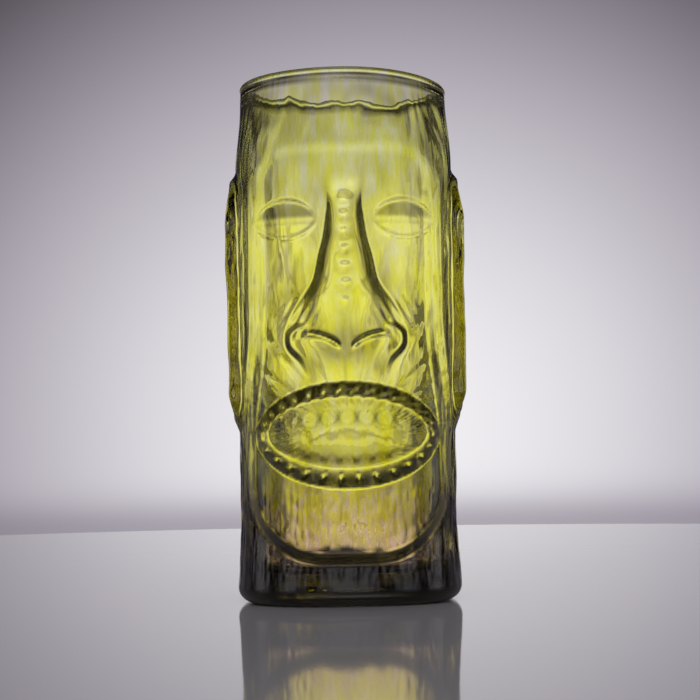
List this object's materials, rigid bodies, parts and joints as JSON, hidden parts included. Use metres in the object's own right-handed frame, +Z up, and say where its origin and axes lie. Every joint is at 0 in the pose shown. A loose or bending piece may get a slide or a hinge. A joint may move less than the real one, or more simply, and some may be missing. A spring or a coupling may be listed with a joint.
{
  "type": "carved head glass tumbler",
  "caption": "Tall blown glass tumbler shaped as a carved stone head, with a round mouth, long ears, a ridged nose, wide lips and a thick base.",
  "frame": {"origin": "centre of the flat underside, on the surface that the tumbler stands on", "axes": "+Z up along the axis of the vessel, -Y towards the viewer whom the face looks at, +X towards the face's own left ear"},
  "size_m": [0.084, 0.0852, 0.178],
  "materials": {
    "olive_glass": "clear yellow-green glass with darker streaks, smoky at the foot, wavy and fire-polished"
  },
  "bodies": {
    "root": {"thick_base": "olive_glass", "side_wall": "olive_glass", "rim_bead": "olive_glass", "forehead": "olive_glass", "nose": "olive_glass", "nose_beads": "olive_glass", "left_eye": "olive_glass", "right_eye": "olive_glass", "upper_lip": "olive_glass", "lower_lip": "olive_glass", "upper_teeth": "olive_glass", "lower_teeth": "olive_glass", "chin": "olive_glass", "left_ear": "olive_glass", "right_ear": "olive_glass"}
  },
  "joints": []
}
